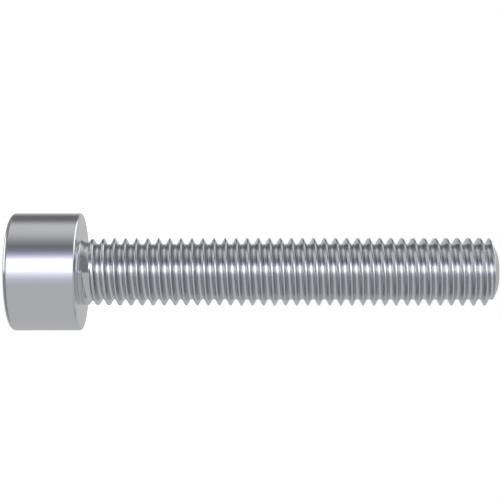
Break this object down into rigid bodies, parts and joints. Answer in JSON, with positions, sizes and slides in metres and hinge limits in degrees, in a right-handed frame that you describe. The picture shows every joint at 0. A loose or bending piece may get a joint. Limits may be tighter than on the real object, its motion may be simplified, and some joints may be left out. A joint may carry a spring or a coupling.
{
  "type": "socket head cap screw",
  "caption": "Metric socket head cap screw: a plain cylindrical head with a hexagon socket on a shank threaded along its whole length.",
  "frame": {"origin": "centre of the head's socket face, which the screw stands on", "axes": "+Z along the screw's axis, from the head to the tip; +X towards the point where the groove starts at the bearing face"},
  "size_m": [0.0085, 0.0084, 0.035],
  "materials": {
    "steel": "smooth bright stainless steel, near mirror on the head's side and the thread"
  },
  "bodies": {
    "root": {"cap_screw": "steel"}
  },
  "joints": []
}
